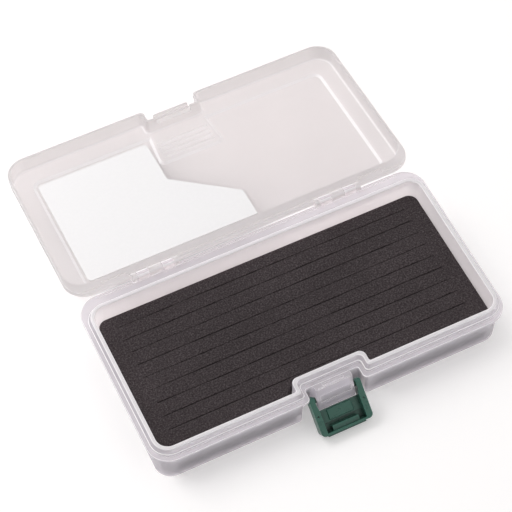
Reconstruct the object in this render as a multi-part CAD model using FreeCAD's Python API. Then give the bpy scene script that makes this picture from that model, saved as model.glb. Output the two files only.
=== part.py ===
import FreeCAD
import Part
import math
import os

# A fly box: a shallow rectangular case with a hinged lid, a swinging latch and a slit foam insert.
# +X runs along the case, +Y from the latch to the hinges and +Z up.
# The origin is the centre of the base's underside. All sizes are in millimetres.
# Everything is modelled as it stands open: the lid laid back and the latch swung down.

Vector = FreeCAD.Vector

# Plan outline of the case at the edge of its flange
case_length = 188.0
case_depth = 94.0
corner_r = 11.5
rear_shelf = 5.2
notch_half_width = 14.1
notch_depth = 7.0
notch_mouth_r = 2.4
notch_throat_r = 1.2
mouth_r_share = 0.28
throat_r_share = 0.4

# Base tray
wall_inset_foot = 3.0
wall_inset_top = 2.2
foot_r = 0.6
foot_step = 0.8
foot_rise = 0.7
floor_thickness = 1.5
flange_top = 22.5
flange_thickness = 1.5
flange_edge_r = 0.5
lip_height = 5.2
lip_inset = 2.3
lip_draft = 0.9
lip_edge_r = 0.6
cavity_inset_floor = 5.6
cavity_inset_top = 5.2
bead_height = 1.6
bead_proud = 0.4
bead_rise = 0.9
ridge_width = 0.6
ridge_height = 0.45
ridge_setback = 1.3

# Latch bracket on the base
bracket_half_top = 9.7
bracket_half_foot = 10.2
bracket_drop = 0.2
bracket_foot = 8.8
bracket_bend = 11.8
bracket_reach_top = 3.2
bracket_reach_foot = 6.3
bracket_wall = 1.5
bracket_corner_r = 0.9
window_half = 8.0
window_low = 14.2
window_high = 18.2
window_depth = 0.3
window_skin = 0.5
top_bar_half = 5.6
top_bar_width = 0.9
top_bar_height = 0.5
top_bar_reach = 1.0
edge_bar_half = 8.1
edge_bar_width = 0.7
edge_bar_height = 0.35
keyhole_slot = 2.5

# Lid, in its closed place
closed_height = 33.0
lid_gap = 0.2
lid_wall = 1.4
lid_draft = 0.5
lid_top_wall = 1.3
lid_edge_r = 1.6
lid_inner_r = 1.2
lid_foot_r = 0.4
lid_open_angle = 186.0
lid_shelf_thickness = 2.6
panel_rise = 0.8
panel_slope = 1.4
panel_side_margin = 10.6
panel_front_margin = 11.6
panel_rear_margin = 5.3
panel_corner_r = 5.0
bay_front_half = 15.1
bay_rear_half = 17.2
bay_depth = 19.6
bay_corner_r = 3.0
rib_count = 4
rib_pitch = 3.3
rib_margin = 6.6
rib_half = 13.7
rib_r = 1.0
rib_proud = 0.6
groove_r = 0.8
groove_depth = 0.5
shelf_pocket_inner = 64.0
shelf_pocket_outer = 77.0
shelf_pocket_width = 2.8
shelf_pocket_depth = 0.8
shelf_pocket_gap = 1.1

# Catch ledge on the lid
ledge_half = 9.8
ledge_reach = 3.8
ledge_top = 28.4
ledge_thickness = 2.0
ledge_lip = 1.2
ledge_lip_drop = 1.8
ledge_rib = 0.8
ledge_rib_drop = 1.0

# Hinges
hinge_centre = 50.0
hinge_rise = 1.5
hinge_back = 0.2
knuckle_r = 2.2
knuckle_length = 7.0
barrel_length = 6.5
end_tab_length = 2.5
hinge_side_gap = 0.3
hinge_round_gap = 0.3
pin_r = 0.9
pin_recess = 0.4
pin_clearance = 0.05

# Latch, upright in its closed place, measured from its pivot
pivot_reach = 3.2
pivot_height = 14.2
pivot_r = 1.5
pivot_clearance = 0.05
arm_inner = 10.5
arm_outer = 13.6
arm_front = 3.0
arm_back = 2.4
arm_end = 1.9
arm_end_r = 1.6
arm_relief = 0.5
arm_relief_low = 2.4
arm_relief_high = 5.0
latch_height = 18.0
latch_corner_r = 2.2
plate_thickness = 1.5
plate_low = 6.2
pad_half = 6.6
pad_low = 6.4
pad_high = 12.1
pad_rise = 0.6
pad_slope = 0.4
hook_half = 6.9
pocket_low = 12.6
pocket_depth = 0.7
hook_clearance = 0.3
hook_reach = 1.3
end_wall = 1.0
finger_half = 10.0
finger_reach = 1.3
finger_front = 2.4
finger_back = 0.2
dimple_r = 0.6
dimple_depth = 0.5
dimple_height = 7.7
table_clearance = 0.15

# Foam insert and its adhesive sheet
foam_top = 17.5
foam_gap = 1.0
adhesive_thickness = 0.2
adhesive_margin = 1.0
slit_count = 9
slit_pitch = 7.75
slit_rear_margin = 7.0
slit_end_margin = 8.0
slit_mouth = 0.8
slit_root = 0.3
slit_depth = 9.0

# Label card on the inside of the lid
card_thickness = 0.3
card_air_gap = 0.05
card_side_gap = 1.25
card_front_gap = 1.55
card_rear_gap = 1.9
card_bay_gap = 2.1
card_step_gap = 11.1
card_slant_run = 31.3
card_slant_rise = 25.4
card_corner_r = 2.2
card_point_r = 0.4

# Cuts run past the faces they open by this much
overrun = 1.0
round_steps = 4

# Heights and places worked out from the sizes above
flange_bottom = flange_top - flange_thickness
flange_middle = flange_top - flange_thickness / 2
lip_top = flange_top + lip_height
lid_foot = flange_top + lid_gap
rim_top = closed_height - panel_rise
rim_inside = rim_top - lid_top_wall
panel_inside = closed_height - lid_top_wall
panel_half_length = case_length / 2 - panel_side_margin
panel_front = -case_depth / 2 + panel_front_margin
panel_rear = case_depth / 2 - panel_rear_margin
bay_rear = panel_front + bay_depth
rib_first = panel_front + rib_margin
foam_inset = cavity_inset_floor + foam_gap
slit_rear = case_depth / 2 - foam_inset - slit_rear_margin
slit_half_length = case_length / 2 - foam_inset - slit_end_margin
notch_back = -case_depth / 2 + notch_depth
shelf_edge = case_depth / 2 + rear_shelf
hinge_y = shelf_edge + hinge_back
hinge_z = flange_top + hinge_rise
pivot_y = notch_back - pivot_reach
bracket_top = flange_top - bracket_drop
hook_low = ledge_top + hook_clearance - pivot_height
finger_high = latch_height + finger_reach
tip_length = math.hypot(finger_high, finger_front)
tip_lean = math.degrees(math.atan2(-finger_front, finger_high))
tip_turn = math.degrees(math.acos((table_clearance - pivot_height) / tip_length))
latch_open_angle = tip_lean + tip_turn


def quarter_turn():
    """Angles of a quarter turn, in equal steps."""
    return [math.pi / 2 * step / round_steps for step in range(round_steps + 1)]


def rounded_wire(corners, place):
    """Closed wire through corners given as (a, b, radius); place puts (a, b) in space."""
    edges = []
    starts = []
    ends = []
    middles = []
    count = len(corners)
    for index in range(count):
        a, b, radius = corners[index]
        before = corners[index - 1]
        after = corners[(index + 1) % count]
        back = (before[0] - a, before[1] - b)
        forth = (after[0] - a, after[1] - b)
        back_length = math.hypot(*back)
        forth_length = math.hypot(*forth)
        back = (back[0] / back_length, back[1] / back_length)
        forth = (forth[0] / forth_length, forth[1] / forth_length)
        half = math.acos(back[0] * forth[0] + back[1] * forth[1]) / 2
        reach = radius / math.tan(half)
        depth = radius / math.sin(half) - radius
        split = (back[0] + forth[0], back[1] + forth[1])
        split_length = math.hypot(*split)
        starts.append(place(a + back[0] * reach, b + back[1] * reach))
        ends.append(place(a + forth[0] * reach, b + forth[1] * reach))
        split = (split[0] / split_length, split[1] / split_length)
        middles.append(place(a + split[0] * depth, b + split[1] * depth))
    for index in range(count):
        if corners[index][2] > 0:
            edges.append(Part.Arc(starts[index], middles[index], ends[index]).toShape())
        edges.append(Part.makeLine(ends[index], starts[(index + 1) % count]))
    return Part.Wire(edges)


def at_height(height):
    """Places plan points (x, y) at a height."""
    return lambda x, y: Vector(x, y, height)


def box(x_low, x_high, y_low, y_high, z_low, z_high):
    """Box between two values on each axis."""
    return Part.makeBox(x_high - x_low, y_high - y_low, z_high - z_low, Vector(x_low, y_low, z_low))


def rod(x_low, x_high, y, z, radius):
    """Cylinder along X."""
    return Part.makeCylinder(radius, x_high - x_low, Vector(x_low, y, z), Vector(1, 0, 0))


def outline(inset, height, rear_reach=0.0):
    """Plan outline of the case, moved inward by inset, with the latch notch at the front."""
    half = case_length / 2 - inset
    front = -case_depth / 2 + inset
    rear = case_depth / 2 + rear_reach - inset
    side = notch_half_width + inset
    back = notch_back + inset
    corner = corner_r - inset
    mouth = notch_mouth_r - mouth_r_share * inset
    throat = notch_throat_r + throat_r_share * inset
    corners = [
        (half, front, corner),
        (half, rear, corner),
        (-half, rear, corner),
        (-half, front, corner),
        (-side, front, mouth),
        (-side, back, throat),
        (side, back, throat),
        (side, front, mouth),
    ]
    return rounded_wire(corners, at_height(height))


def stack(sections, rear_reach=0.0):
    """Solid through outlines given as (height, inset)."""
    wires = [outline(inset, height, rear_reach) for height, inset in sections]
    return Part.makeLoft(wires, True, True)


def foot_round(height, inset, radius):
    """Sections of a rounded lower edge, from the underside up."""
    return [
        (height + radius * (1 - math.cos(turn)), inset + radius * (1 - math.sin(turn)))
        for turn in quarter_turn()
    ]


def top_round(height, inset, radius):
    """Sections of a rounded upper edge, from the side up to the top."""
    return [
        (height - radius * (1 - math.cos(turn)), inset + radius * (1 - math.sin(turn)))
        for turn in reversed(quarter_turn())
    ]


def mouth_round(height, inset, radius):
    """Sections of a hollow whose mouth is rounded outward at the top."""
    return [
        (height - radius * (1 - math.cos(turn)), inset - radius * (1 - math.sin(turn)))
        for turn in reversed(quarter_turn())
    ]


def plate(bottom, top, edge_r, rear_reach):
    """Flat plate with the full outline and a rounded edge."""
    sections = foot_round(bottom, 0, edge_r) + top_round(top, 0, edge_r)
    return stack(sections, rear_reach)


def barrel_spans(centre):
    """X ranges of the base's two barrels at one hinge."""
    inner = (knuckle_length + hinge_side_gap) / 2
    outer = (knuckle_length - hinge_side_gap) / 2 + barrel_length
    return [(centre - outer, centre - inner), (centre + inner, centre + outer)]


def knuckle_spans(centre):
    """X ranges of the lid's end tab, knuckle and end tab at one hinge."""
    middle = (knuckle_length - hinge_side_gap) / 2
    inner = (knuckle_length + hinge_side_gap) / 2 + barrel_length
    outer = knuckle_length / 2 + barrel_length + end_tab_length
    return [
        (centre - outer, centre - inner),
        (centre - middle, centre + middle),
        (centre + inner, centre + outer),
    ]


def hinge_rods(spans, radius, grow):
    """Cylinders on the hinge axis over X ranges, made longer by grow at each end."""
    return [rod(low - grow, high + grow, hinge_y, hinge_z, radius) for low, high in spans]


def tray_lip():
    """Lip above the flange that leans in, with a snap bead low on its outer face."""
    bead_low = flange_top + bead_rise
    bead_high = bead_low + bead_height
    sections = [
        (flange_middle, lip_inset),
        (bead_low, lip_inset),
        (bead_low + bead_proud, lip_inset - bead_proud),
        (bead_high - bead_proud, lip_inset - bead_proud),
        (bead_high, lip_inset),
    ]
    return stack(sections + top_round(lip_top, lip_inset + lip_draft, lip_edge_r))


def tray_cavity():
    """Inside of the tray, open at the top."""
    sections = [(floor_thickness, cavity_inset_floor)]
    sections += mouth_round(lip_top, cavity_inset_top, lip_edge_r)
    sections.append((lip_top + overrun, cavity_inset_top - lip_edge_r))
    return stack(sections)


def rear_ridge():
    """Low ridge along the rear of the flange."""
    half = case_length / 2 - corner_r
    rear = shelf_edge - ridge_setback
    return box(-half, half, rear - ridge_width, rear, flange_middle, flange_top + ridge_height)


def bracket_plan(height, half, reach, shrink, corner):
    """Plan of the bracket at a height, drawn in by shrink."""
    front = notch_back - reach + shrink
    rear = notch_back + cavity_inset_top - shrink
    corners = [
        (half - shrink, front, corner),
        (half - shrink, rear, 0.0),
        (-half + shrink, rear, 0.0),
        (-half + shrink, front, corner),
    ]
    return rounded_wire(corners, at_height(height))


def bracket_body(foot, top, shrink, corner):
    """Bracket's form from foot to top, drawn in by shrink."""
    lean_share = (bracket_top - bracket_bend) / (bracket_top - bracket_foot)
    half_bend = bracket_half_top + (bracket_half_foot - bracket_half_top) * lean_share
    plans = [
        (foot, bracket_half_foot, bracket_reach_foot),
        (bracket_bend, half_bend, bracket_reach_foot),
        (top, bracket_half_top, bracket_reach_top),
    ]
    wires = [bracket_plan(height, half, reach, shrink, corner) for height, half, reach in plans]
    return Part.makeLoft(wires, True, True)


def latch_bracket():
    """Bracket in the notch that carries the latch's pivot, and its hollow, which is open below."""
    outside = bracket_body(bracket_foot, bracket_top, 0, bracket_corner_r)
    inside = bracket_body(bracket_foot - overrun, bracket_top - bracket_wall, bracket_wall, 0)
    return outside, inside


def bracket_bars():
    """Raised bar on the bracket's top and the bright bar along its front edge."""
    bar_y = notch_back - top_bar_reach
    edge_y = notch_back - bracket_reach_top
    low = bracket_top - bracket_wall / 2
    top_bar = box(-top_bar_half, top_bar_half, bar_y - top_bar_width, bar_y,
                  low, bracket_top + top_bar_height)
    edge_bar = box(-edge_bar_half, edge_bar_half, edge_y, edge_y + edge_bar_width,
                   low, bracket_top + edge_bar_height)
    return [top_bar, edge_bar]


def bracket_cuts():
    """Thin window in the front and the keyholes that the pivot bar snaps into from below."""
    front = notch_back - bracket_reach_foot - overrun
    window = box(-window_half, window_half, front, pivot_y, window_low, window_high)
    recess = window.cut(bracket_body(bracket_foot, bracket_top, window_depth, 0))
    pocket = window.common(bracket_body(bracket_foot, bracket_top, window_depth + window_skin, 0))
    reach = bracket_half_foot + overrun
    hole = rod(-reach, reach, pivot_y, pivot_height, pivot_r + pivot_clearance)
    slot = box(-reach, reach, pivot_y - keyhole_slot / 2, pivot_y + keyhole_slot / 2,
               bracket_foot - overrun, pivot_height)
    return [recess, pocket, hole, slot]


def base_tray():
    """Base: tray, flange, lip, latch bracket and the base's hinge barrels in one moulding."""
    foot_inset = wall_inset_foot + foot_step
    foot = stack([(0, foot_inset), (floor_thickness, foot_inset)])
    wall = stack(foot_round(foot_rise, wall_inset_foot, foot_r) + [(flange_middle, wall_inset_top)])
    wall = wall.fuse(foot)
    flange = plate(flange_bottom, flange_top, flange_edge_r, rear_shelf)
    bracket, bracket_hollow = latch_bracket()
    added = [flange, tray_lip(), rear_ridge()]
    removed = []
    for centre in (-hinge_centre, hinge_centre):
        barrels = barrel_spans(centre)
        added += hinge_rods(barrels, knuckle_r, 0)
        for low, high in barrels:
            added.append(box(low, high, hinge_y - knuckle_r, hinge_y, flange_bottom, hinge_z))
        removed += hinge_rods(knuckle_spans(centre), knuckle_r + hinge_round_gap, hinge_side_gap)
        removed += hinge_rods(barrels, pin_r, overrun)
    shell = wall.fuse(added)
    for cut in removed:
        shell = shell.cut(cut)
    shell = barrel_refill(shell)
    outside_hollow = bracket_hollow.cut(wall)
    holder = bracket.cut(outside_hollow).fuse(bracket_bars())
    for cut in bracket_cuts():
        holder = holder.cut(cut.cut(wall))
    return shell.fuse(holder).cut(tray_cavity()).removeSplitter()


def barrel_refill(shell):
    """Adds the barrels' full length again, where the knuckle clearance nicks their ends."""
    for centre in (-hinge_centre, hinge_centre):
        barrels = barrel_spans(centre)
        sleeves = hinge_rods(barrels, knuckle_r, 0)
        for sleeve, bore in zip(sleeves, hinge_rods(barrels, pin_r, overrun)):
            shell = shell.fuse(sleeve.cut(bore))
    return shell


def lid_skin():
    """Outside of the closed lid without its raised panel."""
    sections = foot_round(lid_foot, 0, lid_foot_r)
    sections += top_round(rim_top, lid_draft, lid_edge_r)
    return stack(sections)


def lid_hollow():
    """Inside of the closed lid without its panel recess."""
    inset = lid_wall + lid_draft
    sections = [(lid_foot - overrun, lid_wall)]
    sections += top_round(rim_inside, inset, lid_inner_r)
    return stack(sections)


def panel_plan(grow, height):
    """Plan of the panel, made larger all round by grow."""
    half = panel_half_length + grow
    front = panel_front - grow
    rear = panel_rear + grow
    corner = panel_corner_r + grow
    corners = [
        (half, front, corner),
        (half, rear, corner),
        (-half, rear, corner),
        (-half, front, corner),
    ]
    return rounded_wire(corners, at_height(height))


def bay_plan(grow, height):
    """Plan of the thumb bay, which opens through the panel's front edge."""
    front = panel_front - bay_corner_r
    front_half = bay_front_half + grow
    rear_half = bay_rear_half + grow
    rear = bay_rear + grow
    corners = [
        (front_half, front, 0.0),
        (rear_half, rear, bay_corner_r),
        (-rear_half, rear, bay_corner_r),
        (-front_half, front, 0.0),
    ]
    return rounded_wire(corners, at_height(height))


def panel_block(grow, low, high):
    """Panel solid whose edges lean in by panel_slope, with the thumb bay left out."""
    block = Part.makeLoft([panel_plan(grow, low), panel_plan(grow - panel_slope, high)], True, True)
    bay_wires = [
        bay_plan(-grow, low - overrun),
        bay_plan(-grow, low),
        bay_plan(panel_slope - grow, high),
        bay_plan(panel_slope - grow, high + overrun),
    ]
    return block.cut(Part.makeLoft(bay_wires, True, True))


def rib_line(y, z, radius):
    """Round-ended bar along X in the thumb bay."""
    bar = rod(-rib_half, rib_half, y, z, radius)
    ends = [Part.makeSphere(radius, Vector(x, y, z)) for x in (-rib_half, rib_half)]
    return bar.fuse(ends)


def ledge_window():
    """Gap in the lid's notch wall that leaves the ledge open from below."""
    front = notch_back - overrun
    rear = notch_back + lid_wall + lid_draft + overrun
    return box(-ledge_half, ledge_half, front, rear, lid_foot - overrun, ledge_top - ledge_thickness)


def catch_ledge():
    """Ledge across the lid's notch that the latch hooks over, hollow below with one rib."""
    front = notch_back - ledge_reach
    rear = notch_back + lid_wall
    low = ledge_top - ledge_thickness
    shelf = box(-ledge_half, ledge_half, front, rear, low, ledge_top)
    lip = box(-ledge_half, ledge_half, front, front + ledge_lip, low - ledge_lip_drop, low)
    rib_front = (front + ledge_lip + notch_back - ledge_rib) / 2
    rib = box(-ledge_half, ledge_half, rib_front, rib_front + ledge_rib, low - ledge_rib_drop, low)
    return [shelf, lip, rib]


def shelf_cuts():
    """Room in the lid's rear shelf for the base's ridge and barrels, and its shallow pockets."""
    rear = shelf_edge + overrun
    ridge_rear = shelf_edge - ridge_setback
    groove = box(-case_length / 2, case_length / 2,
                 ridge_rear - ridge_width - hinge_round_gap, ridge_rear + hinge_round_gap,
                 lid_foot - overrun, flange_top + ridge_height + hinge_round_gap)
    cuts = [groove]
    barrel_front = hinge_y - knuckle_r - hinge_round_gap
    for centre in (-hinge_centre, hinge_centre):
        for low, high in barrel_spans(centre):
            cuts.append(box(low - hinge_side_gap, high + hinge_side_gap, barrel_front, rear,
                            lid_foot - overrun, rim_top))
    pocket_low = case_depth / 2 + shelf_pocket_gap
    for left, right in (
        (shelf_pocket_inner, shelf_pocket_outer),
        (-shelf_pocket_outer, -shelf_pocket_inner),
    ):
        cuts.append(box(left, right, pocket_low, pocket_low + shelf_pocket_width,
                        lid_foot - overrun, lid_foot + shelf_pocket_depth))
    return cuts


def open_lid(shape):
    """Lays a closed lid piece back to its open place."""
    shape.rotate(Vector(0, hinge_y, hinge_z), Vector(1, 0, 0), -lid_open_angle)
    return shape


def lid():
    """Lid: skirt, rim, raised panel, thumb ribs, catch ledge, rear shelf and knuckles."""
    shelf_top = lid_foot + lid_shelf_thickness
    shelf = plate(lid_foot, shelf_top, lid_foot_r, rear_shelf)
    ribs = [rib_first + rib_pitch * index for index in range(rib_count)]
    added = [shelf, panel_block(panel_slope, rim_top, closed_height)]
    added += [rib_line(y, rim_top + rib_proud - rib_r, rib_r) for y in ribs]
    outside = lid_skin().fuse(added)
    for cut in shelf_cuts() + [ledge_window()]:
        outside = outside.cut(cut)
    outside = outside.cut(lid_hollow())
    outside = outside.cut(panel_block(0, rim_inside, panel_inside))
    for y in ribs:
        outside = outside.cut(rib_line(y, rim_inside + groove_depth - groove_r, groove_r))
    skirt_hollow = lid_hollow()
    added = [piece.cut(skirt_hollow) for piece in catch_ledge()]
    bores = []
    for centre in (-hinge_centre, hinge_centre):
        knuckles = knuckle_spans(centre)
        added += hinge_rods(knuckles, knuckle_r, 0)
        bores += hinge_rods(knuckles, pin_r + pin_clearance, overrun)
    shape = outside.fuse(added)
    for bore in bores:
        shape = shape.cut(bore)
    return open_lid(shape.removeSplitter())


def latch_side_profile():
    """Block with the arms' side outline: straight up from a rounded end below the pivot."""
    corners = [
        (-arm_front, -arm_end, arm_end_r),
        (arm_back, -arm_end, arm_end_r),
        (arm_back, latch_height, 0.0),
        (-arm_front, latch_height, 0.0),
    ]
    wire = rounded_wire(corners, lambda y, z: Vector(-arm_outer, y, z))
    return Part.Face(wire).extrude(Vector(arm_outer * 2, 0, 0))


def latch_front_profile():
    """Block with the latch's front outline: square at the pivot, rounded at the top."""
    corners = [
        (-arm_outer, -arm_front - arm_back, 0.0),
        (arm_outer, -arm_front - arm_back, 0.0),
        (arm_outer, latch_height, latch_corner_r),
        (-arm_outer, latch_height, latch_corner_r),
    ]
    wire = rounded_wire(corners, lambda x, z: Vector(x, -arm_front - overrun, z))
    return Part.Face(wire).extrude(Vector(0, arm_front + arm_back + overrun * 2, 0))


def arm_reliefs():
    """Wedges that thin the arms' inner sides near the pivot."""
    low = -arm_front - arm_back
    cuts = []
    for side in (-1, 1):
        corners = [
            (side * (arm_inner - overrun), low, 0.0),
            (side * (arm_inner + arm_relief), low, 0.0),
            (side * (arm_inner + arm_relief), arm_relief_low, 0.0),
            (side * arm_inner, arm_relief_high, 0.0),
            (side * (arm_inner - overrun), arm_relief_high, 0.0),
        ]
        wire = rounded_wire(corners, lambda x, z: Vector(x, -arm_front - overrun, z))
        cuts.append(Part.Face(wire).extrude(Vector(0, arm_front + arm_back + overrun * 2, 0)))
    return cuts


def latch_pad():
    """Raised pad on the plate's inner face, with sloped edges."""
    face = plate_thickness - arm_front
    wires = []
    for shrink, depth in ((0, face - plate_thickness / 2), (0, face), (pad_slope, face + pad_rise)):
        corners = [
            (-pad_half + shrink, pad_low + shrink, 0.0),
            (pad_half - shrink, pad_low + shrink, 0.0),
            (pad_half - shrink, pad_high - shrink, 0.0),
            (-pad_half + shrink, pad_high - shrink, 0.0),
        ]
        wires.append(rounded_wire(corners, lambda x, z, depth=depth: Vector(x, depth, z)))
    return Part.makeLoft(wires, True, True)


def latch():
    """Latch: two arms with a pivot bar between them, a plate, the hook bar and a finger lip."""
    face = plate_thickness - arm_front
    low = -arm_front - arm_back
    shape = latch_side_profile().common(latch_front_profile())
    shape = shape.cut(box(-arm_inner, arm_inner, face, arm_back + overrun, low, latch_height - end_wall))
    shape = shape.cut(box(-arm_inner, arm_inner, -arm_front - overrun, arm_back + overrun, low, plate_low))
    shape = shape.cut(box(-arm_inner, arm_inner, face - pocket_depth, arm_back,
                          pocket_low, latch_height - end_wall))
    for cut in arm_reliefs():
        shape = shape.cut(cut)
    hook = box(-hook_half, hook_half, -arm_front + (plate_thickness - pocket_depth) / 2, hook_reach,
               hook_low, latch_height - end_wall / 2)
    finger = box(-finger_half, finger_half, -finger_front, -finger_back,
                 latch_height - end_wall, finger_high)
    bar_half = arm_inner + arm_relief + (arm_outer - arm_inner - arm_relief) / 2
    bar = rod(-bar_half, bar_half, 0, 0, pivot_r)
    shape = shape.fuse([latch_pad(), hook, finger, bar])
    for x in (-(arm_inner + arm_outer) / 2, (arm_inner + arm_outer) / 2):
        centre = Vector(x, arm_back - dimple_depth, dimple_height)
        shape = shape.cut(Part.makeCylinder(dimple_r, dimple_depth + overrun, centre, Vector(0, 1, 0)))
    shape = shape.removeSplitter()
    shape.rotate(Vector(0, 0, 0), Vector(1, 0, 0), latch_open_angle)
    shape.translate(Vector(0, pivot_y, pivot_height))
    return shape


def foam_slit(y):
    """One tapered slit across the foam."""
    low = foam_top - slit_depth
    root = slit_root / 2
    mouth = slit_mouth / 2
    corners = [
        (y - root, low, 0.0),
        (y + root, low, 0.0),
        (y + mouth, foam_top, 0.0),
        (y + mouth, foam_top + overrun, 0.0),
        (y - mouth, foam_top + overrun, 0.0),
        (y - mouth, foam_top, 0.0),
    ]
    wire = rounded_wire(corners, lambda y, z: Vector(-slit_half_length, y, z))
    return Part.Face(wire).extrude(Vector(slit_half_length * 2, 0, 0))


def foam_insert():
    """Foam block cut to the tray's outline, with a row of slits that hold the flies."""
    low = floor_thickness + adhesive_thickness
    block = stack([(low, foam_inset), (foam_top, foam_inset)])
    for index in range(slit_count):
        block = block.cut(foam_slit(slit_rear - slit_pitch * index))
    return block


def foam_adhesive():
    """Double-sided sheet that holds the foam to the tray's floor."""
    inset = foam_inset + adhesive_margin
    return stack([(floor_thickness, inset), (floor_thickness + adhesive_thickness, inset)])


def label_card():
    """Bare card with a stepped, slanted side, lying in the lid's panel recess over a film of air."""
    left = -panel_half_length + panel_slope + card_side_gap
    front = panel_front + panel_slope + card_front_gap
    rear = panel_rear - panel_slope - card_rear_gap
    front_side = -bay_rear_half - card_bay_gap
    rear_side = front_side + card_slant_run
    step_low = bay_rear + card_step_gap
    step_high = step_low + card_slant_rise
    corners = [
        (left, front, card_corner_r),
        (front_side, front, card_corner_r),
        (front_side, step_low, card_corner_r),
        (rear_side, step_high, card_point_r),
        (rear_side, rear, card_point_r),
        (left, rear, card_corner_r),
    ]
    wire = rounded_wire(corners, at_height(panel_inside - card_air_gap - card_thickness))
    return open_lid(Part.Face(wire).extrude(Vector(0, 0, card_thickness)))


def hinge_pin(centre):
    """Plain pin through one hinge."""
    half = knuckle_length / 2 + barrel_length + end_tab_length - pin_recess
    return rod(centre - half, centre + half, hinge_y, hinge_z, pin_r)


def build():
    """Writes each piece to its own file."""
    os.makedirs("parts", exist_ok=True)
    pieces = {
        "base_tray": base_tray(),
        "lid": lid(),
        "latch": latch(),
        "foam_insert": foam_insert(),
        "foam_adhesive": foam_adhesive(),
        "label_card": label_card(),
        "left_hinge_pin": hinge_pin(-hinge_centre),
        "right_hinge_pin": hinge_pin(hinge_centre),
    }
    for name, shape in pieces.items():
        shape.exportStep("parts/" + name + ".step")
        print(name, "solids", len(shape.Solids), "valid", shape.isValid(), "volume", round(shape.Volume, 1))
    print("hinge axis y", round(hinge_y, 3), "z", round(hinge_z, 3))
    print("latch axis y", round(pivot_y, 3), "z", round(pivot_height, 3))
    print("latch swing", round(latch_open_angle, 3))


build()
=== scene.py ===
import math
import random

import bmesh
import bpy
from mathutils import Matrix, Vector

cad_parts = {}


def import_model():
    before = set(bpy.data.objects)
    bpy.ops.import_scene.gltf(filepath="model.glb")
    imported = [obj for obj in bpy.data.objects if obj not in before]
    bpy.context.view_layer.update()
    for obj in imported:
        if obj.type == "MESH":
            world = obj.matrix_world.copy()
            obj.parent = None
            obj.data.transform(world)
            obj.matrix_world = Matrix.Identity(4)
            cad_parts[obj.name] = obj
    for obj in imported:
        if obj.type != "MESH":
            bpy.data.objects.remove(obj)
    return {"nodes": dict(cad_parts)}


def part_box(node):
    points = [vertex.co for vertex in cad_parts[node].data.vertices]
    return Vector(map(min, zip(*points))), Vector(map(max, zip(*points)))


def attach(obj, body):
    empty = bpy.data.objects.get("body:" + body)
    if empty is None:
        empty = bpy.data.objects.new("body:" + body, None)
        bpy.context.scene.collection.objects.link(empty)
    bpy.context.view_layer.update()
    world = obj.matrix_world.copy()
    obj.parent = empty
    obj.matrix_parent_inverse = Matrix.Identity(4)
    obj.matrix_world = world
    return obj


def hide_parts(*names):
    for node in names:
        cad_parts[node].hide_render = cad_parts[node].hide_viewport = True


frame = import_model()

# A fly box, open on a white table. The frame gives the moulded pieces. The foam insert is built here.
# Lengths are in millimetres times MM, because Blender works in metres.
MM = 0.001
Z_AXIS = Vector((0, 0, 1))

# Camera: it looks back from a target on the table, at the photograph's viewing angle
CAMERA_AZIMUTH = -23.97
CAMERA_ELEVATION = 56.67
CAMERA_ROLL = -2.04
CAMERA_DISTANCE = 947.4 * MM
CAMERA_TARGET = Vector((4.00 * MM, 51.66 * MM, 0))
CAMERA_LENS = 131.05
CAMERA_SENSOR = 36.0

# Noise: its values mostly lie between these two, and a finer or rougher one between the next two
NOISE_LOW, NOISE_HIGH = 0.3, 0.7
WORN_LOW, WORN_HIGH = 0.35, 0.65

# Frosted plastic of each piece: colour, colour of the light through it, what share of it is milky and how
# strong the painted highlight on its edges is
BASE_COLOUR = (0.91, 0.89, 0.91, 1)
BASE_THROUGH = (0.98, 0.92, 0.91, 1)
BASE_MILKY_SHARE = 0.3
BASE_TRANSMISSION = 0.75
BASE_ROUGHNESS = (0.12, 0.24)
BASE_EDGE_HIGHLIGHT = 0.8
LID_COLOUR = (0.78, 0.77, 0.78, 1)
LID_THROUGH = (0.86, 0.81, 0.80, 1)
LID_MILKY_SHARE = 0.35
LID_TRANSMISSION = 0.6
LID_ROUGHNESS = (0.3, 0.42)
LID_EDGE_HIGHLIGHT = 0.55
PIN_COLOUR = (0.92, 0.90, 0.92, 1)
PIN_THROUGH = (0.96, 0.90, 0.89, 1)
PIN_MILKY_SHARE = 0.5
PIN_TRANSMISSION = 0.6
PIN_ROUGHNESS = (0.15, 0.25)
PLASTIC_IOR = 1.49

# Frosted plastic: unevenness, worn places, fine grain and slow waves
CLOUD_SIZE = 22 * MM
CLOUD_GAIN = 1.03
WORN_SIZE = 5 * MM
WORN_DETAIL, WORN_BREAK = 5.0, 0.6
GRAIN_SIZE = 0.35 * MM
GRAIN_DEPTH = 0.03 * MM
GRAIN_DETAIL, GRAIN_STRENGTH = 2.0, 0.35
WAVE_SIZE = 9 * MM
WAVE_DEPTH = 0.12 * MM
WAVE_STRENGTH = 0.3

# Frosted plastic: share of the lamps' light that passes each face
LAMP_PASS = 0.9

# Painted highlights on edges: how near to one, what counts as a bend, and which faces lean like a rounded
# edge
EDGE_HIGHLIGHT_COLOUR = (0.98, 0.96, 0.97, 1)
EDGE_REACH = 0.3 * MM
EDGE_SAMPLES = 4
EDGE_STARTS, EDGE_FULL = 0.97, 0.80
STEEP_STARTS, STEEP_FULL = 0.5, 0.65
FLAT_STARTS, FLAT_FULL = 0.985, 0.9

# Tray: painted shade darkens its outer faces and flange, with a slight blue, and a painted glow lightens the
# band just below its rim
OUTER_PAINTED_SHADE = (0.87, 0.875, 0.925, 1)
FLANGE_PAINTED_SHADE = (0.91, 0.91, 0.935, 1)
PLAIN_TINT = (1, 1, 1, 1)
UPRIGHT_LEVEL, FLANGE_LEVEL = 0.3, 0.7
INWARD_REACH = 20 * MM
RIM_DEPTH = 0.7 * MM
RIM_PAINTED_GLOW = 0.45
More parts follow.
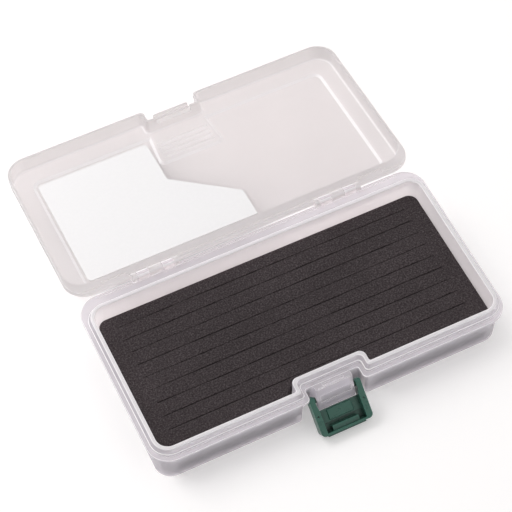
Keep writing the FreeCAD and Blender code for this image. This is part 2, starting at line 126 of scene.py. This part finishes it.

# Latch plastic: flow marks, fine grain, painted shade in pockets and painted highlights on edges
LATCH_COLOUR = (0.038, 0.132, 0.097, 1)
LATCH_DEEP_SHARE, LATCH_EDGE_HIGHLIGHT_GAIN = 0.8, 2.2
LATCH_ROUGHNESS = (0.24, 0.36)
LATCH_IOR = 1.5
FLOW_SIZE = 3.5 * MM
FLOW_DETAIL = 4.0
LATCH_GRAIN_SIZE = 0.4 * MM
LATCH_GRAIN_DEPTH = 0.03 * MM
LATCH_GRAIN_STRENGTH = 0.4
CREASE_REACH = 3.0 * MM
CREASE_SAMPLES = 6
CREASE_CLOSED, CREASE_OPEN = 0.35, 0.95
CREASE_DARKEST = 0.15

# Foam material: cells, speckle and slow shade changes
FOAM_SPECKS = (
    (0.33, (0.022, 0.017, 0.018, 1)),
    (0.52, (0.047, 0.038, 0.040, 1)),
    (0.72, (0.095, 0.080, 0.084, 1)),
)
CELL_SIZE = 0.75 * MM
CELL_DEPTH = 0.2 * MM
CELL_STRENGTH = 0.5
SPECK_SIZE = 0.8 * MM
SPECK_DETAIL, SPECK_BREAK = 3.0, 0.7
SPECK_DEPTH = 0.25 * MM
SPECK_STRENGTH = 0.6
SHADE_SIZE = 30 * MM
SHADE_RANGE = (0.88, 1.1)
FOAM_ROUGHNESS = 0.95
FOAM_SPECULAR = 0.2

# Card and adhesive sheet: fibres
CARD_COLOUR = (0.87, 0.855, 0.86, 1)
CARD_FIBRE = 1.6 * MM
FILM_COLOUR = (0.75, 0.73, 0.68, 1)
FILM_FIBRE = 1.0 * MM
FIBRE_DETAIL, FIBRE_BREAK = 5.0, 0.65
FIBRE_DIM_SHARE = 0.975
FIBRE_ROUGHNESS = (0.5, 0.62)
FIBRE_DEPTH = 0.04 * MM
FIBRE_STRENGTH = 0.3

# Light
WORLD_FRONT = 0.5
WORLD_REAR = 0.74
KEY_PLACE = Vector((-460 * MM, 640 * MM, 740 * MM))
KEY_SIZE = 600 * MM
KEY_POWER = 5.8
FILL_PLACE = Vector((500 * MM, -700 * MM, 600 * MM))
FILL_SIZE = 900 * MM
FILL_POWER = 0.9
FLOOR_SIZE = 12000 * MM
FLOOR_COLOUR = (0.81, 0.79, 0.785, 1)
FLOOR_GLOW = 0.26
FLOOR_ROUGHNESS = 0.9
FLOOR_SPECULAR = 0.1
LAMP_AIM = Vector((0, 50 * MM, 15 * MM))
WHITE = (1, 1, 1, 1)

# Foam: its outline follows the tray, and the slits follow the CAD solid
FOAM_CORNER = 4.9 * MM
FOAM_MOUTH_R = 0.55 * MM
FOAM_THROAT_R = 3.84 * MM
FOAM_NOTCH_HALF = 20.7 * MM
FOAM_NOTCH_DEPTH = 7.0 * MM
FOAM_EDGE_ROUND = 0.5 * MM
FOAM_EDGE_STEPS = 4
FOAM_CORNER_STEPS = 8
SLIT_COUNT = 9
SLIT_PITCH = 7.75 * MM
SLIT_REAR_MARGIN = 7.0 * MM
SLIT_END_MARGIN = 8.0 * MM
SLIT_DEPTH = 9.0 * MM
SLIT_MOUTH = 0.66 * MM
SLIT_THROAT = 0.26 * MM
SLIT_ROOT = 0.2 * MM
SLIT_LIP_SHARES = (1.5, 0.4)
SLIT_LIP_GAIN = 1.25
SLIT_OVERCUT_GAIN = 1.3
SLIT_WANDER = 0.16 * MM
SLIT_WANDER_PLACES = 9
SLIT_GAPE = (0.35, 1.0)
SLIT_GAPE_PLACES = 25
SLIT_PINCH_RUN = 2.5 * MM
SLIT_PINCH_SHARE = 0.25
SLIT_STEPS = 80
SEED = 7


def new_material(name):
    """Material with a Principled shader, its node tree and that shader."""
    material = bpy.data.materials.new(name)
    material.use_nodes = True
    tree = material.node_tree
    return material, tree, tree.nodes["Principled BSDF"]


def add(tree, kind, **settings):
    """Node of a kind with its inputs or properties set by name."""
    node = tree.nodes.new(kind)
    for key, value in settings.items():
        if key in node.inputs:
            node.inputs[key].default_value = value
        else:
            setattr(node, key, value)
    return node


def object_point(tree):
    """Coordinates of the surface in the row frame, in metres."""
    return add(tree, "ShaderNodeTexCoord").outputs["Object"]


def noise(tree, point, size, detail=3.0, breakup=0.55):
    """Noise whose grains are about size across."""
    node = add(tree, "ShaderNodeTexNoise", Scale=1 / size, Detail=detail, Roughness=breakup)
    tree.links.new(point, node.inputs["Vector"])
    return node.outputs["Fac"]


def ramp(tree, value, stops):
    """Colour ramp through stops given as (place, colour)."""
    node = add(tree, "ShaderNodeValToRGB")
    elements = node.color_ramp.elements
    for index, (place, colour) in enumerate(stops):
        element = elements[index] if index < 2 else elements.new(place)
        element.position = place
        element.color = colour
    tree.links.new(value, node.inputs["Fac"])
    return node.outputs["Color"]


def span(tree, value, low, high, out_low, out_high):
    """Value mapped from one range to another and held inside it."""
    node = add(tree, "ShaderNodeMapRange")
    for name, number in (("From Min", low), ("From Max", high), ("To Min", out_low), ("To Max", out_high)):
        node.inputs[name].default_value = number
    tree.links.new(value, node.inputs["Value"])
    return node.outputs["Result"]


def bump(tree, height, distance, strength, below=None):
    """Bump from a height value, laid over another bump if one is given."""
    node = add(tree, "ShaderNodeBump", Strength=strength, Distance=distance)
    tree.links.new(height, node.inputs["Height"])
    if below is not None:
        tree.links.new(below, node.inputs["Normal"])
    return node.outputs["Normal"]


def sharp_share(tree):
    """How near a place lies to a sharp edge, from 0 to 1."""
    bevel = add(tree, "ShaderNodeBevel", Radius=EDGE_REACH, samples=EDGE_SAMPLES)
    plain = add(tree, "ShaderNodeNewGeometry")
    agree = add(tree, "ShaderNodeVectorMath", operation="DOT_PRODUCT")
    tree.links.new(bevel.outputs["Normal"], agree.inputs[0])
    tree.links.new(plain.outputs["Normal"], agree.inputs[1])
    return span(tree, agree.outputs["Value"], EDGE_STARTS, EDGE_FULL, 0, 1)


def level_share(tree):
    """How level a face lies, from 0 on an upright face to 1 on a level one."""
    facing = add(tree, "ShaderNodeSeparateXYZ")
    tree.links.new(add(tree, "ShaderNodeTexCoord").outputs["Normal"], facing.inputs["Vector"])
    level = add(tree, "ShaderNodeMath", operation="ABSOLUTE")
    tree.links.new(facing.outputs["Z"], level.inputs[0])
    return level.outputs[0]


def slope_share(tree, level):
    """How much a face leans between level and upright, as a rounded edge does, from 0 to 1."""
    steep = span(tree, level, STEEP_STARTS, STEEP_FULL, 0, 1)
    flat = span(tree, level, FLAT_STARTS, FLAT_FULL, 0, 1)
    return both(tree, "MULTIPLY", steep, flat)


def both(tree, operation, one, other):
    """Two values joined by an operation."""
    node = add(tree, "ShaderNodeMath", operation=operation)
    tree.links.new(one, node.inputs[0])
    tree.links.new(other, node.inputs[1])
    return node.outputs[0]


def painted_facing_shade(tree, level, upright_painted_shade, level_painted_shade):
    """Painted shade on outer faces, upright and level ones apart, slightly bluish. Faces that look inward
    stay plain.
    """
    coordinates = add(tree, "ShaderNodeTexCoord")
    outward = add(tree, "ShaderNodeVectorMath", operation="DOT_PRODUCT")
    tree.links.new(coordinates.outputs["Normal"], outward.inputs[0])
    tree.links.new(coordinates.outputs["Object"], outward.inputs[1])
    inward = span(tree, outward.outputs["Value"], 0, -INWARD_REACH, 0, 1)
    outer = ramp(tree, level, [(UPRIGHT_LEVEL, upright_painted_shade), (FLANGE_LEVEL, level_painted_shade)])
    return mixed(tree, inward, outer, PLAIN_TINT)


def mixed(tree, share, colour, other_colour):
    """Colour that turns into a fixed other colour by a share."""
    node = add(tree, "ShaderNodeMixRGB", Color2=other_colour)
    tree.links.new(share, node.inputs["Fac"])
    tree.links.new(colour, node.inputs["Color1"])
    return node.outputs["Color"]


def painted_rim_glow(tree, height):
    """Share of painted glow in the thin band just below a height, where light would come out of the rim."""
    where = add(tree, "ShaderNodeSeparateXYZ")
    tree.links.new(object_point(tree), where.inputs["Vector"])
    return span(tree, where.outputs["Z"], height - RIM_DEPTH, height - RIM_DEPTH / 2, 0, RIM_PAINTED_GLOW)


def painted_crease_shade(tree, colour, reach, darkest):
    """Colour with painted shade in corners and pockets narrower than reach."""
    room = add(tree, "ShaderNodeAmbientOcclusion", Distance=reach, samples=CREASE_SAMPLES)
    return scaled(tree, colour, span(tree, room.outputs["AO"], CREASE_CLOSED, CREASE_OPEN, darkest, 1))


def scaled(tree, colour, value):
    """Colour made darker or paler by a value."""
    node = add(tree, "ShaderNodeVectorMath", operation="SCALE")
    tree.links.new(colour, node.inputs["Vector"])
    tree.links.new(value, node.inputs["Scale"])
    return node.outputs["Vector"]


def times(colour, share):
    """Plain colour with its channels multiplied, at most white."""
    return tuple(min(1.0, channel * share) for channel in colour[:3]) + (1,)


def tinted(tree, colour, tint):
    """Colour multiplied by a tint."""
    node = add(tree, "ShaderNodeVectorMath", operation="MULTIPLY")
    tree.links.new(colour, node.inputs[0])
    tree.links.new(tint, node.inputs[1])
    return node.outputs["Vector"]


def frosted_plastic(
        name, colour, through_colour, milky_share, transmission, roughness, edge_highlight, painted_shades=None, rim=None):
    """Frosted translucent moulding with painted highlights on its edges, and painted shade on its outer
    faces if given.
    """
    material, tree, shader = new_material(name)
    point = object_point(tree)
    level = level_share(tree)
    cloud = noise(tree, point, CLOUD_SIZE)
    clouded = ramp(tree, cloud, [(NOISE_LOW, colour), (NOISE_HIGH, times(colour, CLOUD_GAIN))])
    milky = add(tree, "ShaderNodeBsdfTranslucent", Color=through_colour)
    # Painted shade: outer faces of the tray darker and slightly bluish, upright ones most
    if painted_shades is not None:
        tint = painted_facing_shade(tree, level, *painted_shades)
        clouded = tinted(tree, clouded, tint)
        through = ramp(tree, cloud, [(NOISE_LOW, through_colour), (NOISE_HIGH, through_colour)])
        tree.links.new(tinted(tree, through, tint), milky.inputs["Color"])
    tree.links.new(clouded, shader.inputs["Base Color"])
    worn = noise(tree, point, WORN_SIZE, WORN_DETAIL, WORN_BREAK)
    tree.links.new(span(tree, worn, WORN_LOW, WORN_HIGH, *roughness), shader.inputs["Roughness"])
    grain = bump(tree, noise(tree, point, GRAIN_SIZE, GRAIN_DETAIL), GRAIN_DEPTH, GRAIN_STRENGTH)
    waves = bump(tree, noise(tree, point, WAVE_SIZE), WAVE_DEPTH, WAVE_STRENGTH, grain)
    tree.links.new(waves, shader.inputs["Normal"])
    shader.inputs["Transmission Weight"].default_value = transmission
    shader.inputs["IOR"].default_value = PLASTIC_IOR
    body = add(tree, "ShaderNodeMixShader", Fac=milky_share)
    tree.links.new(shader.outputs["BSDF"], body.inputs[1])
    tree.links.new(milky.outputs["BSDF"], body.inputs[2])
    # Painted highlight: diffuse white mixed in on edges, and a painted glow in the band below the rim
    lit = add(tree, "ShaderNodeMixShader")
    tree.links.new(painted_highlight_share(tree, level, edge_highlight, rim), lit.inputs["Fac"])
    tree.links.new(body.outputs["Shader"], lit.inputs[1])
    glow = add(tree, "ShaderNodeBsdfDiffuse", Color=EDGE_HIGHLIGHT_COLOUR)
    tree.links.new(glow.outputs["BSDF"], lit.inputs[2])
    pass_lamps(tree, lit.outputs["Shader"], LAMP_PASS)
    return material


def painted_highlight_share(tree, level, edge_highlight, rim):
    """Share of painted highlight on edges, and of painted glow below the rim if its height is given."""
    edge = add(tree, "ShaderNodeMath", operation="MULTIPLY")
    edge.inputs[1].default_value = edge_highlight
    tree.links.new(both(tree, "MAXIMUM", sharp_share(tree), slope_share(tree, level)), edge.inputs[0])
    if rim is None:
        return edge.outputs[0]
    return both(tree, "MAXIMUM", edge.outputs[0], painted_rim_glow(tree, rim))


def pass_lamps(tree, surface, share):
    """Lets a share of the lamps' light straight through each face of a translucent piece."""
    path = add(tree, "ShaderNodeLightPath")
    amount = add(tree, "ShaderNodeMath", operation="MULTIPLY")
    amount.inputs[1].default_value = share
    tree.links.new(path.outputs["Is Shadow Ray"], amount.inputs[0])
    through = add(tree, "ShaderNodeBsdfTransparent")
    passed = add(tree, "ShaderNodeMixShader")
    tree.links.new(amount.outputs[0], passed.inputs["Fac"])
    tree.links.new(surface, passed.inputs[1])
    tree.links.new(through.outputs["BSDF"], passed.inputs[2])
    tree.links.new(passed.outputs["Shader"], tree.nodes["Material Output"].inputs["Surface"])


def latch_plastic(name, colour):
    """Deep green satin moulding with faint flow marks, painted shade in its pockets and painted highlights
    on its edges.
    """
    material, tree, shader = new_material(name)
    point = object_point(tree)
    flow = noise(tree, point, FLOW_SIZE, FLOW_DETAIL)
    marked = ramp(tree, flow, [(NOISE_LOW, times(colour, LATCH_DEEP_SHARE)), (NOISE_HIGH, colour)])
    # Painted shade: the colour darkens in corners and pockets
    plain = painted_crease_shade(tree, marked, CREASE_REACH, CREASE_DARKEST)
    # Painted highlight: a paler green on sharp edges
    highlighted_edges = mixed(tree, sharp_share(tree), plain, times(colour, LATCH_EDGE_HIGHLIGHT_GAIN))
    tree.links.new(highlighted_edges, shader.inputs["Base Color"])
    tree.links.new(span(tree, flow, NOISE_LOW, NOISE_HIGH, *LATCH_ROUGHNESS), shader.inputs["Roughness"])
    grain = noise(tree, point, LATCH_GRAIN_SIZE, GRAIN_DETAIL)
    tree.links.new(bump(tree, grain, LATCH_GRAIN_DEPTH, LATCH_GRAIN_STRENGTH), shader.inputs["Normal"])
    shader.inputs["IOR"].default_value = LATCH_IOR
    return material


def foam_material(name):
    """Charcoal closed-cell foam: small cells, a speckle of paler and darker ones and slow shade changes."""
    material, tree, shader = new_material(name)
    point = object_point(tree)
    cells = add(tree, "ShaderNodeTexVoronoi", Scale=1 / CELL_SIZE)
    tree.links.new(point, cells.inputs["Vector"])
    speckle = noise(tree, point, SPECK_SIZE, SPECK_DETAIL, SPECK_BREAK)
    shade = span(tree, noise(tree, point, SHADE_SIZE), NOISE_LOW, NOISE_HIGH, *SHADE_RANGE)
    tree.links.new(scaled(tree, ramp(tree, speckle, FOAM_SPECKS), shade), shader.inputs["Base Color"])
    coarse = bump(tree, speckle, SPECK_DEPTH, SPECK_STRENGTH)
    fine = bump(tree, cells.outputs["Distance"], CELL_DEPTH, CELL_STRENGTH, coarse)
    tree.links.new(fine, shader.inputs["Normal"])
    shader.inputs["Roughness"].default_value = FOAM_ROUGHNESS
    shader.inputs["Specular IOR Level"].default_value = FOAM_SPECULAR
    return material


def paper(name, colour, fibre):
    """Smooth white card with a faint fibre grain."""
    material, tree, shader = new_material(name)
    point = object_point(tree)
    grain = noise(tree, point, fibre, FIBRE_DETAIL, FIBRE_BREAK)
    stops = [(NOISE_LOW, times(colour, FIBRE_DIM_SHARE)), (NOISE_HIGH, colour)]
    tree.links.new(ramp(tree, grain, stops), shader.inputs["Base Color"])
    tree.links.new(span(tree, grain, NOISE_LOW, NOISE_HIGH, *FIBRE_ROUGHNESS), shader.inputs["Roughness"])
    tree.links.new(bump(tree, grain, FIBRE_DEPTH, FIBRE_STRENGTH), shader.inputs["Normal"])
    return material


def dress(node, material):
    """Gives a CAD node its material."""
    mesh = frame["nodes"][node].data
    mesh.materials.clear()
    mesh.materials.append(material)


def arc(centre, radius, start, end):
    """Points on an arc between two angles in degrees."""
    points = []
    for step in range(FOAM_CORNER_STEPS + 1):
        turn = math.radians(start + (end - start) * step / FOAM_CORNER_STEPS)
        points.append(Vector((centre[0] + radius * math.cos(turn), centre[1] + radius * math.sin(turn), 0)))
    return points


def foam_outline(inset):
    """Outline of the foam, moved inward by inset, from its rear right corner round."""
    low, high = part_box("foam_insert")
    corner = FOAM_CORNER - inset
    mouth = FOAM_MOUTH_R + inset
    throat = FOAM_THROAT_R + inset
    right, left = high.x - inset, low.x + inset
    front, rear = low.y + inset, high.y - inset
    side = FOAM_NOTCH_HALF + inset
    back = low.y + FOAM_NOTCH_DEPTH + inset
    points = arc((right - corner, rear - corner), corner, 0, 90)
    points += arc((left + corner, rear - corner), corner, 90, 180)
    points += arc((left + corner, front + corner), corner, 180, 270)
    points += arc((-side - mouth, front + mouth), mouth, 270, 360)
    points += arc((-side + throat, back - throat), throat, 180, 90)
    points += arc((side - throat, back - throat), throat, 90, 0)
    points += arc((side + mouth, front + mouth), mouth, 180, 270)
    points += arc((right - corner, front + corner), corner, 270, 360)
    return points


def loft(rings):
    """Closed mesh through rings of points with equal counts, with a face over each end."""
    mesh = bmesh.new()
    loops = [[mesh.verts.new(point) for point in ring] for ring in rings]
    for lower, upper in zip(loops, loops[1:]):
        for index in range(len(lower)):
            after = (index + 1) % len(lower)
            mesh.faces.new((lower[index], lower[after], upper[after], upper[index]))
    mesh.faces.new(list(reversed(loops[0])))
    mesh.faces.new(loops[-1])
    bmesh.ops.recalc_face_normals(mesh, faces=mesh.faces)
    data = bpy.data.meshes.new("made")
    mesh.to_mesh(data)
    mesh.free()
    return data


def place(name, data):
    """Object in the scene that holds a mesh, a lamp or a camera."""
    piece = bpy.data.objects.new(name, data)
    bpy.context.scene.collection.objects.link(piece)
    return piece


def foam_block():
    """Foam block with a softly rounded upper edge."""
    low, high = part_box("foam_insert")
    rings = [[point + Z_AXIS * low.z for point in foam_outline(0)]]
    for step in range(FOAM_EDGE_STEPS + 1):
        turn = math.pi / 2 * step / FOAM_EDGE_STEPS
        height = high.z - FOAM_EDGE_ROUND * (1 - math.sin(turn))
        inset = FOAM_EDGE_ROUND * (1 - math.cos(turn))
        rings.append([point + Z_AXIS * height for point in foam_outline(inset)])
    return place("foam_block", loft(rings))


def slit_cutter(y, dice):
    """Wandering tapered blade that cuts one slit, with rounded lips and pinched ends."""
    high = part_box("foam_insert")[1]
    half = high.x - SLIT_END_MARGIN
    deep_share, shallow_share = SLIT_LIP_SHARES
    levels = (
        (high.z - SLIT_DEPTH, SLIT_ROOT),
        (high.z - SLIT_MOUTH * deep_share, SLIT_THROAT),
        (high.z - SLIT_MOUTH * shallow_share, SLIT_THROAT * SLIT_LIP_GAIN),
        (high.z, SLIT_MOUTH),
        (high.z + SLIT_MOUTH, SLIT_MOUTH * SLIT_OVERCUT_GAIN),
    )
    drift = [dice.uniform(-SLIT_WANDER, SLIT_WANDER) for _ in range(SLIT_WANDER_PLACES)]
    gape = [dice.uniform(*SLIT_GAPE) for _ in range(SLIT_GAPE_PLACES)]
    rings = []
    for step in range(SLIT_STEPS + 1):
        share = step / SLIT_STEPS
        x = -half + 2 * half * share
        middle = y + wave(drift, share)
        pinch = min(1.0, (half - abs(x)) / SLIT_PINCH_RUN + SLIT_PINCH_SHARE) * wave(gape, share)
        side = [Vector((x, middle - width * pinch / 2, z)) for z, width in levels]
        other = [Vector((x, middle + width * pinch / 2, z)) for z, width in reversed(levels)]
        rings.append(side + other)
    return place("slit_cutter", loft(rings))


def wave(values, share):
    """Smooth value through evenly spaced values at a share of the way."""
    reach = share * (len(values) - 1)
    index = min(int(reach), len(values) - 2)
    blend = reach - index
    blend = blend * blend * (3 - 2 * blend)
    return values[index] * (1 - blend) + values[index + 1] * blend


def cut(piece, cutter):
    """Takes a cutter's volume out of a piece and removes the cutter."""
    modifier = piece.modifiers.new("cut", "BOOLEAN")
    modifier.operation = "DIFFERENCE"
    modifier.solver = "EXACT"
    modifier.object = cutter
    graph = bpy.context.evaluated_depsgraph_get()
    data = bpy.data.meshes.new_from_object(piece.evaluated_get(graph))
    piece.modifiers.clear()
    piece.data = data
    bpy.data.objects.remove(cutter)


def foam_insert():
    """Slit foam insert that stands for the CAD solid."""
    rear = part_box("foam_insert")[1].y
    dice = random.Random(SEED)
    piece = foam_block()
    for index in range(SLIT_COUNT):
        cut(piece, slit_cutter(rear - SLIT_REAR_MARGIN - SLIT_PITCH * index, dice))
    piece.data.materials.clear()
    piece.data.materials.append(foam_material("foam_cells"))
    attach(piece, "base")
    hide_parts("foam_insert")


def floor_material():
    """White table that keeps the object's shadow and shows white to the camera."""
    material, tree, shader = new_material("table_white")
    shader.inputs["Base Color"].default_value = FLOOR_COLOUR
    shader.inputs["Roughness"].default_value = FLOOR_ROUGHNESS
    shader.inputs["Specular IOR Level"].default_value = FLOOR_SPECULAR
    path = add(tree, "ShaderNodeLightPath")
    through = both(tree, "MAXIMUM", path.outputs["Is Glossy Ray"], path.outputs["Is Transmission Ray"])
    seen = both(tree, "MAXIMUM", path.outputs["Is Camera Ray"], through)
    glow = add(tree, "ShaderNodeMath", operation="MULTIPLY")
    glow.inputs[1].default_value = FLOOR_GLOW
    tree.links.new(seen, glow.inputs[0])
    shader.inputs["Emission Color"].default_value = WHITE
    tree.links.new(glow.outputs[0], shader.inputs["Emission Strength"])
    return material


def floor():
    """Plain pale table."""
    half = FLOOR_SIZE / 2
    mesh = bmesh.new()
    corners = ((-half, -half), (half, -half), (half, half), (-half, half))
    mesh.faces.new([mesh.verts.new((x, y, 0)) for x, y in corners])
    data = bpy.data.meshes.new("table")
    mesh.to_mesh(data)
    mesh.free()
    table = place("table", data)
    table.data.materials.append(floor_material())


def world():
    """Pale surroundings, dimmer in front of the box, that show white to the camera."""
    made = bpy.data.worlds.new("surroundings")
    bpy.context.scene.world = made
    made.use_nodes = True
    tree = made.node_tree
    background = tree.nodes["Background"]
    path = add(tree, "ShaderNodeLightPath")
    where = add(tree, "ShaderNodeSeparateXYZ")
    tree.links.new(add(tree, "ShaderNodeTexCoord").outputs["Generated"], where.inputs["Vector"])
    strength = add(tree, "ShaderNodeMapRange")
    tree.links.new(span(tree, where.outputs["Y"], -1, 1, WORLD_FRONT, WORLD_REAR), strength.inputs["To Min"])
    tree.links.new(path.outputs["Is Camera Ray"], strength.inputs["Value"])
    background.inputs["Color"].default_value = WHITE
    tree.links.new(strength.outputs["Result"], background.inputs["Strength"])


def lamp(name, where, size, power, aim):
    """Square soft lamp aimed at a point."""
    data = bpy.data.lights.new(name, "AREA")
    data.energy = power
    data.size = size
    light = place(name, data)
    light.location = where
    light.rotation_euler = (aim - where).to_track_quat("-Z", "Y").to_euler()


def camera():
    """Camera at the photograph's viewing angle."""
    azimuth, elevation, roll = (math.radians(a) for a in (CAMERA_AZIMUTH, CAMERA_ELEVATION, CAMERA_ROLL))
    back = Vector((
        math.sin(azimuth) * math.cos(elevation),
        -math.cos(azimuth) * math.cos(elevation),
        math.sin(elevation),
    ))
    right = (-back).cross(Z_AXIS).normalized()
    up = right.cross(-back)
    rolled_right = right * math.cos(roll) + up * math.sin(roll)
    rolled_up = up * math.cos(roll) - right * math.sin(roll)
    data = bpy.data.cameras.new("camera")
    data.lens = CAMERA_LENS
    data.sensor_width = CAMERA_SENSOR
    view = place("camera", data)
    view.matrix_world = turned(rolled_right, rolled_up, back, CAMERA_TARGET + back * CAMERA_DISTANCE)
    bpy.context.scene.camera = view


def turned(right, up, back, where):
    """Matrix of an object with these axes at a place."""
    columns = Matrix((right, up, back)).transposed()
    return Matrix.Translation(where) @ columns.to_4x4()


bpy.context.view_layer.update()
bpy.context.scene.view_settings.view_transform = "Standard"
# Tray: painted shade on its outer faces and a painted glow below its rim
base_clear = frosted_plastic(
    "frosted_base", BASE_COLOUR, BASE_THROUGH, BASE_MILKY_SHARE, BASE_TRANSMISSION, BASE_ROUGHNESS,
    BASE_EDGE_HIGHLIGHT, (OUTER_PAINTED_SHADE, FLANGE_PAINTED_SHADE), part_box("base_tray")[1].z)
lid_clear = frosted_plastic(
    "frosted_lid", LID_COLOUR, LID_THROUGH, LID_MILKY_SHARE, LID_TRANSMISSION, LID_ROUGHNESS, LID_EDGE_HIGHLIGHT)
pin_clear = frosted_plastic(
    "pin_clear", PIN_COLOUR, PIN_THROUGH, PIN_MILKY_SHARE, PIN_TRANSMISSION, PIN_ROUGHNESS, BASE_EDGE_HIGHLIGHT)
dress("base_tray", base_clear)
dress("lid", lid_clear)
dress("left_hinge_pin", pin_clear)
dress("right_hinge_pin", pin_clear)
dress("latch", latch_plastic("latch_green", LATCH_COLOUR))
dress("label_card", paper("card_white", CARD_COLOUR, CARD_FIBRE))
dress("foam_adhesive", paper("adhesive_film", FILM_COLOUR, FILM_FIBRE))
foam_insert()
floor()
world()
lamp("key", KEY_PLACE, KEY_SIZE, KEY_POWER, LAMP_AIM)
lamp("fill", FILL_PLACE, FILL_SIZE, FILL_POWER, LAMP_AIM)
camera()
